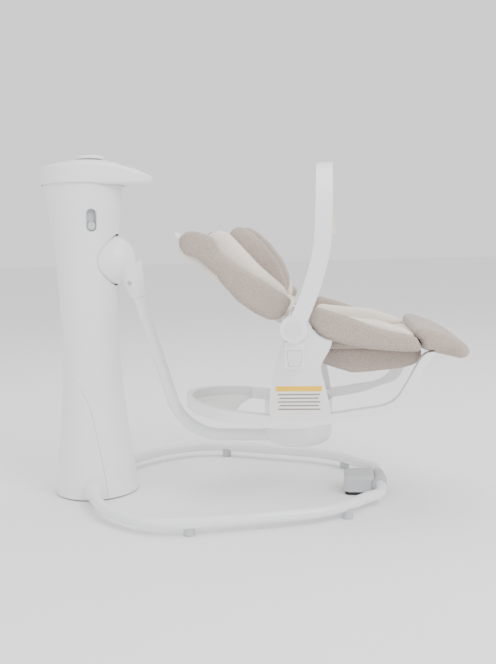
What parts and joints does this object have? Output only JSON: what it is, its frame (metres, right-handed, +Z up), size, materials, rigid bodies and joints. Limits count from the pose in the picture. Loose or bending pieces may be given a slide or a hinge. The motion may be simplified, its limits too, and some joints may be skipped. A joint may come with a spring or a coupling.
{
  "type": "baby swing",
  "caption": "White baby swing: a tower with a bent swing arm, a reclining fabric seat with a carry handle on a rocker base, and a floor tube ring.",
  "frame": {"origin": "on the floor, in the middle of the swing's footprint", "axes": "+X from the tower to the foot end of the seat, +Y to the seat's left, +Z up"},
  "size_m": [1.024, 0.6746, 0.844],
  "materials": {
    "white_plastic": "satin",
    "white_tube": "gloss",
    "grey_plastic": "satin",
    "pale_plastic": "satin",
    "dark_plastic": "satin",
    "dark_rubber": "matte",
    "steel": "satin",
    "copper": "satin",
    "board": "satin",
    "taupe_fabric": "matte",
    "cream_fabric": "matte",
    "webbing": "matte",
    "label": "matte"
  },
  "bodies": {
    "base": {"base_tubes": "white_tube", "tube_collars": "white_plastic", "front_collar": "grey_plastic", "front_foot": "grey_plastic", "front_foot_pad": "dark_rubber", "tube_feet": "grey_plastic", "tower_shell": "white_plastic", "rear_cover": "white_plastic", "power_inlet": "dark_plastic", "tower_base": "dark_plastic", "tower_pads": "dark_rubber", "tower_cap": "white_plastic", "control_panel": "grey_plastic", "circuit_board": "board", "slider_track": "grey_plastic", "chassis": "dark_plastic", "shaft_bearings": "steel", "drive_coil": "copper", "speaker": "dark_plastic"},
    "dial": {"speed_dial": "white_plastic"},
    "sound_key": {"sound_button": "pale_plastic"},
    "power_key": {"power_button": "pale_plastic"},
    "timer_key": {"timer_button": "pale_plastic"},
    "slider": {"flank_slider": "grey_plastic"},
    "arm": {"pivot_shaft": "steel", "magnet_carrier": "steel", "drive_magnets": "steel", "arm_tube": "white_tube", "arm_hub": "white_plastic", "hub_screw": "steel", "dock_bowl": "white_plastic"},
    "swivel": {"turntable": "white_plastic"},
    "seat": {"rocker_base": "white_plastic", "upright_right": "white_plastic", "upright_left": "white_plastic", "upright_labels": "label", "pivot_pins": "steel", "seat_frame": "steel", "seat_cushion": "cream_fabric", "front_wings": "taupe_fabric", "front_bolsters": "cream_fabric", "foot_cushion": "taupe_fabric", "underside_sling": "taupe_fabric", "under_strap": "webbing", "under_buckle": "dark_plastic", "harness_straps": "webbing", "harness_buckle": "dark_plastic"},
    "back": {"backrest_frame": "steel", "back_cushion": "cream_fabric", "back_wings": "taupe_fabric", "back_bolsters": "cream_fabric", "head_huggers": "taupe_fabric", "shoulder_straps": "webbing", "grip_loop": "white_plastic"},
    "handle": {"carry_handle": "white_plastic", "hub_caps": "pale_plastic", "handle_label": "label"},
    "release_right": {"handle_release_right": "pale_plastic"},
    "release_left": {"handle_release_left": "pale_plastic"},
    "buckle_key": {"buckle_button": "pale_plastic"}
  },
  "joints": [
    {"name": "arm_swing", "type": "hinge", "parent": "base", "child": "arm", "pos_m": [-0.408, 0, 0.589], "axis": [1, 0, 0], "range_deg": [-12, 12]},
    {"name": "seat_swivel", "type": "hinge", "parent": "arm", "child": "swivel", "pos_m": [0.114, 0, 0.18], "axis": [0, 0, 1], "range_deg": [-90, 90]},
    {"name": "seat_lift", "type": "slide", "parent": "swivel", "child": "seat", "axis": [0, 0, 1], "range_m": [0, 0.08]},
    {"name": "backrest_recline", "type": "hinge", "parent": "seat", "child": "back", "pos_m": [0.117, 0, 0.434], "axis": [0, 1, 0], "range_deg": [0, 20]},
    {"name": "handle_tilt", "type": "hinge", "parent": "seat", "child": "handle", "pos_m": [0.117, 0, 0.434], "axis": [0, 1, 0], "range_deg": [-30, 60]},
    {"name": "handle_release_press_right", "type": "slide", "parent": "seat", "child": "release_right", "axis": [0, 1, 0], "range_m": [0, 0.003], "stiffness_N_per_m": 600},
    {"name": "handle_release_press_left", "type": "slide", "parent": "seat", "child": "release_left", "axis": [0, -1, 0], "range_m": [0, 0.003], "stiffness_N_per_m": 600},
    {"name": "dial_turn", "type": "hinge", "parent": "base", "child": "dial", "pos_m": [-0.389, 0, 0.84], "axis": [0, 0, 1], "range_deg": [-140, 140]},
    {"name": "slider_move", "type": "slide", "parent": "base", "child": "slider", "axis": [0, 0, 1], "range_m": [0, 0.027]},
    {"name": "buckle_press", "type": "slide", "parent": "seat", "child": "buckle_key", "axis": [0, 0, -1], "range_m": [0, 0.0015], "stiffness_N_per_m": 500},
    {"name": "sound_press", "type": "slide", "parent": "base", "child": "sound_key", "axis": [0, 0, -1], "range_m": [0, 0.0012], "stiffness_N_per_m": 500},
    {"name": "power_press", "type": "slide", "parent": "base", "child": "power_key", "axis": [0, 0, -1], "range_m": [0, 0.0012], "stiffness_N_per_m": 500},
    {"name": "timer_press", "type": "slide", "parent": "base", "child": "timer_key", "axis": [0, 0, -1], "range_m": [0, 0.0012], "stiffness_N_per_m": 500}
  ]
}
